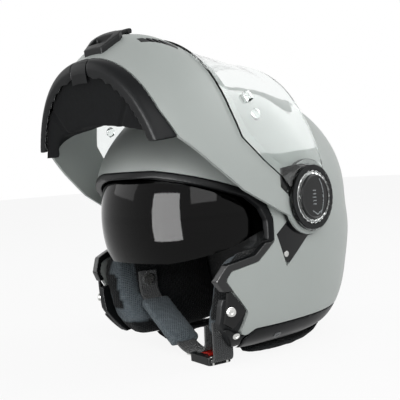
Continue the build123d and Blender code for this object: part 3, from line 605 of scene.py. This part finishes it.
def grounded(piece):
    """Keep a pad's flat foot on the floor that its CAD solid stands on."""
    for vertex in piece.data.vertices:
        vertex.co.z = 0 if vertex.co.z < floor_snap * mm else vertex.co.z


grounded(soft_pad("neck_cushion", "neck_roll", roll_seam, no_panel, dark_cloth, voxel=4.0,
                  shrink=0.8, cap=1.5))


def join_rings(bm, before, after):
    """A band of faces from one ring of vertices to the next."""
    count = len(before)
    for index in range(count):
        other = (index + 1) % count
        bm.faces.new((before[index], before[other], after[other], after[index]))


# The lower roll of the chin bar's lining, drawn with the bar closed: pairs of inner and outer places
# from its left leg round the front to its right one, and how high the roll is there
lining_roll = [(68, -109, 76, -107, 12), (58, -111, 73, -116, 30), (50, -112.5, 67, -128, 46),
               (34, -115, 50, -149, 50), (17, -117.5, 28.5, -163, 50), (0, -118, 0, -167, 50),
               (-17, -117.5, -28.5, -163, 50), (-34, -115, -50, -149, 50),
               (-50, -112.5, -67, -128, 46), (-54, -110, -73, -116, 26),
               (-57, -103, -77, -106, 11), (-60, -91, -81, -92, 11)]
# The roll's underside and outer wall, how far its top is set in, and how far its wall goes out
roll_foot, roll_wall_top, roll_set_in, roll_reach = 7, 13, 5, 0.6
lining_nodes = ("chin_bar_liner", "chin_centre_pad", "chin_side_pad_left", "chin_side_pad_right")
lining_swell, lining_shrink = 0.8, 0.6
# The seams fan out from a middle behind the mouth, one at this turn to each side, in radians
seam_middle, seam_turn, seam_radius = -60, 0.62, 80
lining_seam_depth, lining_seam_width = 1.6, 1.8


def lining_shelf(bm):
    """The lower roll, as one closed form that the skin takes in."""
    rings = []
    for x0, y0, x1, y1, top in lining_roll:
        side = Vector((x1 - x0, y1 - y0)).normalized() * roll_set_in
        low = side * roll_reach
        corners = [(x0, y0, roll_foot), (x1 + low.x, y1 + low.y, roll_foot),
                   (x1 + low.x, y1 + low.y, min(top, roll_wall_top)),
                   (x1 - side.x, y1 - side.y, top), (x0, y0, top)]
        rings.append([bm.verts.new(raised @ (Vector(corner) * mm)) for corner in corners])
    for before, after in zip(rings, rings[1:]):
        join_rings(bm, before, after)
    bm.faces.new(list(reversed(rings[0])))
    bm.faces.new(rings[-1])


def lining_seam(place, normal):
    """How far a place is from the nearer of the two seams that fan out round the mouth."""
    low = lowered @ place
    turn = math.atan2(low.x, -(low.y - seam_middle * mm))
    return abs(abs(turn) - seam_turn) * seam_radius * mm


def chin_lining():
    """One smooth laminated lining inside the chin bar, with a seam each side of its middle."""
    bm = merged(lining_nodes)
    for vertex in bm.verts:
        vertex.normal_update()
    for vertex in bm.verts:
        vertex.co += vertex.normal * lining_swell * mm
    lining_shelf(bm)
    bmesh.ops.recalc_face_normals(bm, faces=bm.faces)
    piece = even_skin("chin_lining", bm, 2.2)
    round_off(piece, 0.5, 9)
    move_along_normals(piece, -lining_shrink * mm)
    move_along_normals(piece, lambda place, normal: -lining_seam_depth * mm * dip(
        lining_seam(place, normal), lining_seam_width * mm))
    mark_panel(piece, no_panel)
    refine(piece)
    join_to(piece, lining_nodes, "chin_bar", chin_cloth)


chin_lining()
soft_pad("strap_sleeve", "strap_pad", lambda place, normal: far, all_panel, cheek_cloth, voxel=1.6,
         shrink=-0.6, cap=1.6)


# Straps: they lie in an upright plane through the buckle, turned a little from straight across

strap_turn = math.radians(-11.5)
run_way = Vector((math.cos(strap_turn), math.sin(strap_turn), 0))
across_way = Vector((-math.sin(strap_turn), math.cos(strap_turn), 0))
buckle = Vector((52, -92, 0)) * mm
strap_width, strap_wall, strap_step, edge_drop = 22, 2.2, 2.5, 0.25
corner_steps = 12


def rounded_line(points, bend):
    """The strap's line, in metres along the run and up, with each corner rounded."""
    line = [Vector(points[0])]
    for before, corner, after in zip(points, points[1:], points[2:]):
        before, corner, after = Vector(before), Vector(corner), Vector(after)
        into = (corner - before).normalized()
        out = (after - corner).normalized()
        for step in range(corner_steps + 1):
            share = step / corner_steps
            start, end = corner - into * bend, corner + out * bend
            line.append(start * (1 - share) ** 2 + corner * 2 * share * (1 - share)
                        + end * share ** 2)
    line.append(Vector(points[-1]))
    return line


def along(line, distance):
    """The place and way at a distance along a line."""
    for start, end in zip(line, line[1:]):
        span = (end - start).length
        if distance <= span or end is line[-1]:
            return start + (end - start) * (distance / span), (end - start).normalized()
        distance -= span


def web_strap(name, replaced, points, bend, width=strap_width):
    """A woven strap: a flat grid laid along its line and given its thickness, with a UV in metres.

    The line's points are millimetres along the strap's run from the buckle, and up.
    """
    width = width * mm
    line = rounded_line([(s * mm, z * mm) for s, z in points], bend * mm)
    length = sum((end - start).length for start, end in zip(line, line[1:]))
    steps = int(length / (strap_step * mm))
    bm = bmesh.new()
    layer = bm.loops.layers.uv.new("weave")
    bmesh.ops.create_grid(bm, x_segments=8, y_segments=steps, size=0.5)
    for face in bm.faces:
        for loop in face.loops:
            loop[layer].uv = (loop.vert.co.x * width, loop.vert.co.y * length)
    for vertex in bm.verts:
        place, way = along(line, (vertex.co.y + 0.5) * length)
        edge = abs(vertex.co.x) * 2
        flat = place + Vector((-way.y, way.x)) * (-edge_drop * mm * edge ** 6)
        vertex.co = (buckle + run_way * flat.x + Vector((0, 0, flat.y))
                     + across_way * vertex.co.x * width)
    bmesh.ops.recalc_face_normals(bm, faces=bm.faces)
    piece = new_piece(name, bm)
    thick = piece.modifiers.new("wall", "SOLIDIFY")
    thick.thickness = strap_wall * mm
    thick.offset = 0
    settle(piece)
    rim = piece.modifiers.new("worn_edge", "BEVEL")
    rim.width = 0.5 * mm
    rim.segments = 2
    dress(piece, webbing)
    set_in_place(piece, "shell", replaced)


web_strap("chin_strap_right", ("strap_right",),
          [(-18.5, 6.75), (-32, 6.75), (-112, 56), (-112, 80)], 12)
web_strap("chin_strap_left", ("strap_left",), [(12, 4.5), (22, 4.5), (22, 42)], 5)
web_strap("strap_end", (), [(-12, 9.6), (-4, 10.5), (3, 16), (4, 36)], 4, width=15)


# Turned and moulded details

def moulded(node, body, voxel):
    """A CAD solid with the small rounds that a mould leaves on its corners, which catch the light."""
    piece = even_skin(f"{node}_moulded", merged([node]), voxel)
    round_off(piece, 0.5, 3)
    dress(piece, finishes.get(node, black))
    for face in piece.data.polygons:
        face.use_smooth = True
    set_in_place(piece, body, (node,))


for node, body, slot, voxel in (
        ("brow_trim", "shell", "rubber_trim", 1.0),
        ("base_trim", "shell", "rubber_trim", 1.1),
        ("jaw_trim_left", "shell", "rubber_trim", 0.8),
        ("jaw_trim_right", "shell", "rubber_trim", 0.8),
        ("jaw_frame_left", "shell", "frame_plastic", 0.8),
        ("jaw_frame_right", "shell", "frame_plastic", 0.8),
        ("chin_bar_trim", "chin_bar", "rubber_trim", 1.0),
        ("chin_vent_housing", "chin_bar", "black_plastic", 0.7),
        ("buckle_frame", "shell", "black_plastic", 0.6),
        ("vent_slider", "vent_slider", "black_plastic", 0.5)):
    moulded(node, body, voxel)


def loose_solids(node):
    """The vertex places and faces' normals with areas of each loose solid of a node."""
    bm = bmesh.new()
    bm.from_mesh(nodes[node].data)
    bmesh.ops.remove_doubles(bm, verts=bm.verts, dist=0.01 * mm)
    left = set(bm.verts)
    solids = []
    while left:
        group, edge = set(), [left.pop()]
        while edge:
            vertex = edge.pop()
            group.add(vertex)
            near = {link.other_vert(vertex) for link in vertex.link_edges} & left
            left -= near
            edge.extend(near)
        faces = {face for vertex in group for face in vertex.link_faces}
        solids.append(([vertex.co.copy() for vertex in group],
                       [(face.normal.copy(), face.calc_area()) for face in faces]))
    bm.free()
    return solids


# A place inside the shell, from which every screw and stud points outwards
shell_middle = Vector((0, 0, 0.14))
turned_sides = 36


def axis_of(places, faces):
    """A short turned solid's foot, outward way, radius and height."""
    middle = sum(places, Vector()) / len(places)
    sums = {}
    for normal, area in faces:
        key = tuple(round(part, 1) for part in normal)
        found = sums.setdefault(key, [0, Vector()])
        found[0] += area
        found[1] += normal * area
    way = max(sums.values(), key=lambda found: found[0])[1].normalized()
    if way.dot(middle - shell_middle) < 0:
        way = -way
    heights = [(place - middle).dot(way) for place in places]
    radius = max(((place - middle) - way * height).length for place, height in zip(places, heights))
    return middle + way * min(heights), way, radius, max(heights) - min(heights)


def turned_part(name, node, profile, material):
    """Screws and studs in the places of a node's solids, turned from a profile.

    Each row of the profile is a share of the radius, a share of the height, and 1 for a hexagon.
    """
    bm = bmesh.new()
    for places, faces in loose_solids(node):
        foot, way, radius, height = axis_of(places, faces)
        across = way.orthogonal().normalized()
        third = way.cross(across)
        rings = []
        for wide, high, hexagon in profile:
            ring = []
            for index in range(turned_sides):
                degrees = index * 10
                turn = math.radians(degrees)
                reach = radius * wide
                if hexagon:
                    reach *= math.cos(math.radians(30)) / math.cos(math.radians(degrees % 60 - 30))
                ring.append(bm.verts.new(foot + way * height * high + (
                    across * math.cos(turn) + third * math.sin(turn)) * reach))
            rings.append(ring)
        for before, after in zip(rings, rings[1:]):
            join_rings(bm, before, after)
        bm.faces.new(list(reversed(rings[0])))
        bm.faces.new(rings[-1])
    piece = new_piece(name, bm, smooth=False)
    dress(piece, material)
    set_in_place(piece, "shell", (node,))


socket_screw = [(0.96, 0, 0), (1, 0.06, 0), (1, 0.78, 0), (0.93, 0.93, 0), (0.82, 1, 0), (0.6, 1, 0),
                (0.55, 0.97, 1), (0.5, 0.6, 1)]
round_stud = [(0.6, 0, 0), (0.6, 0.25, 0), (1, 0.27, 0), (1, 0.42, 0), (0.72, 0.5, 0),
              (0.7, 0.62, 0), (0.94, 0.7, 0), (0.9, 0.86, 0), (0.72, 0.97, 0), (0.4, 1, 0),
              (0.2, 0.96, 0)]
turned_part("hinge_plate_screws", "plate_screws", socket_screw, steel)
turned_part("jaw_cover_screws", "cover_screws", socket_screw, steel)
turned_part("base_trim_screws", "base_screws", socket_screw, dark_steel)
turned_part("latch_stud_pins", "latch_studs", round_stud, steel)


# Pivots, in millimetres from the pivot's middle

def on_face(side, y, z, height):
    """A place beside the pivot, at a distance from the helmet's middle plane."""
    return Vector((side * height, pivot_y + y, pivot_z + z)) * mm


cap_face, cap_turns, cap_flat, cap_rings, mark_rise = 131.3, 160, 19.2, 36, 0.45
# The cap's rim outside its flat: radius, and height over the face
cap_rim = [(19.6, 0.6), (20.2, 0.6), (20.9, 0.3), (21.4, -0.3), (21.5, -1.4), (21.5, -2.5)]
# The ring's section: radius, and distance from the helmet's middle plane
ring_section = [(21.9, 128.5), (21.9, 130.2), (22.6, 130.9), (23.8, 130.6), (24.9, 130.1),
                (25.7, 129.2), (25.7, 128.5)]
ring_turns, grip_lobes, grip_depth, grip_start = 192, 24, 0.35, 23
# The marks on the cap: a long arc, five bars and a chevron, and half the width of their lines. The
# arc and bars are ribs coloured grey as a painted highlight; the chevron is a grey mark.
arc_middle, arc_radius, arc_reach, arc_line = -16.5, 29, 17, 0.55
bar_start, bar_end, bar_line, bar_levels = -4, 1, 0.45, (6, 2.8, -0.4, -3.6, -6.8)
chevron_start, chevron_middle, chevron_end = -5, 2, 9
chevron_foot, chevron_slope, chevron_line = -17, 0.55, 0.6


def pivot_mark(y, z):
    """Whether a place on the cap is on one of its raised marks."""
    arc = abs(math.hypot(y - arc_middle, z) - arc_radius) < arc_line and abs(z) < arc_reach
    bars = bar_start < y < bar_end and any(abs(z - level) < bar_line for level in bar_levels)
    rise = chevron_foot + abs(y - chevron_middle) * chevron_slope
    chevron = abs(z - rise) < chevron_line and chevron_start < y < chevron_end
    return arc or bars or chevron


def pivot_cap(side, name, replaced):
    """The pivot's black cap: a domed face with a bevelled rim, and marks that stand up from it, grey
    as a painted highlight on the arc and bars and as the chevron's own colour.
    """
    bm = bmesh.new()
    centre = bm.verts.new(on_face(side, 0, 0, cap_face))
    rings = []
    flat = [(share * cap_flat / cap_rings, 0) for share in range(1, cap_rings + 1)]
    for radius, lift in flat + cap_rim:
        ring = []
        for index in range(cap_turns):
            turn = 2 * math.pi * index / cap_turns
            y, z = radius * math.cos(turn), radius * math.sin(turn)
            rise = mark_rise if lift == 0 and pivot_mark(y, z) else lift
            ring.append(bm.verts.new(on_face(side, y, z, cap_face + rise - (radius / 60) ** 2)))
        rings.append(ring)
    for index in range(cap_turns):
        bm.faces.new((centre, rings[0][(index + 1) % cap_turns], rings[0][index]))
    for before, after in zip(rings, rings[1:]):
        join_rings(bm, before, after)
    bm.faces.new(rings[-1])
    bmesh.ops.recalc_face_normals(bm, faces=bm.faces)
    piece = new_piece(name, bm)
    piece.data.materials.append(gloss_black)
    # The second material, grey, goes on the marks: painted highlight on the arc and bars, the
    # chevron's own grey.
    piece.data.materials.append(mark_and_highlight_grey)
    for face in piece.data.polygons:
        place = face.center / mm
        if abs(place.x) > cap_face + 0.05 and pivot_mark(place.y - pivot_y, place.z - pivot_z):
            face.material_index = 1
    set_in_place(piece, "chin_bar", (replaced,))


def pivot_rings():
    """The clear rings round the caps, with a scalloped grip on the outer edge."""
    bm = bmesh.new()
    for side in (1, -1):
        rings = []
        for radius, height in ring_section:
            ring = []
            for index in range(ring_turns):
                turn = 2 * math.pi * index / ring_turns
                wave = grip_depth * math.cos(grip_lobes * turn) if radius > grip_start else 0
                ring.append(bm.verts.new(on_face(side, (radius + wave) * math.cos(turn),
                                                 (radius + wave) * math.sin(turn), height)))
            rings.append(ring)
        for before, after in zip(rings, rings[1:] + rings[:1]):
            join_rings(bm, before, after)
    bmesh.ops.recalc_face_normals(bm, faces=bm.faces)
    piece = new_piece("pivot_rings", bm)
    dress(piece, clear)
    set_in_place(piece, "visor", ("hinge_rings",))


# The black moulding seen through the visor's ear
base_outline = [(-40, 29), (-29, 31), (-9, 32), (14, 27), (25, 12), (27, -8), (20, -24), (10, -30),
                (1, -33), (-13, -28), (-24, -14), (-30, 2), (-41, 12)]
base_rings, base_side_parts, base_rise, base_sunk_edge = 14, 6, 0.15, -0.6
# It is level over the round plate, and beyond that lies on the arm where there is arm under it
plate_radius, plate_level, open_level, arm_gap = 31, 124.9, 124.6, 0.3
ray_start, arm_least = 150, 112


def pivot_base(side, name):
    """A thin black moulding that follows the chin bar's arm under the visor's ear."""
    arm = BVHTree.FromObject(nodes["chin_bar_shell"], bpy.context.evaluated_depsgraph_get())
    edge = []
    for (y0, z0), (y1, z1) in zip(base_outline, base_outline[1:] + base_outline[:1]):
        for part in range(base_side_parts):
            edge.append((y0 + (y1 - y0) * part / base_side_parts,
                         z0 + (z1 - z0) * part / base_side_parts))

    def level_at(y, z):
        if math.hypot(y, z) < plate_radius:
            return plate_level
        hit = arm.ray_cast(on_face(side, y, z, ray_start), Vector((-side, 0, 0)))[0]
        level = abs(hit.x) / mm if hit and abs(hit.x) > arm_least * mm else open_level
        return min(level + arm_gap, plate_level)

    bm = bmesh.new()
    rings = []
    for step in range(1, base_rings + 1):
        share = step / base_rings
        for lift in ((base_rise,) if share < 1 else (base_rise, base_sunk_edge)):
            ring = [(y * share, z * share) for y, z in edge]
            rings.append([bm.verts.new(on_face(side, y, z, level_at(y, z) + lift))
                          for y, z in ring])
    for before, after in zip(rings, rings[1:]):
        join_rings(bm, before, after)
    bm.faces.new(rings[0])
    bm.faces.new(rings[-1])
    bmesh.ops.recalc_face_normals(bm, faces=bm.faces)
    piece = new_piece(name, bm)
    dress(piece, gloss_black)
    set_in_place(piece, "chin_bar")


for side, end in ((1, "left"), (-1, "right")):
    pivot_cap(side, f"pivot_cap_{end}", f"hinge_cover_{end}")
    pivot_base(side, f"pivot_base_{end}")
pivot_rings()
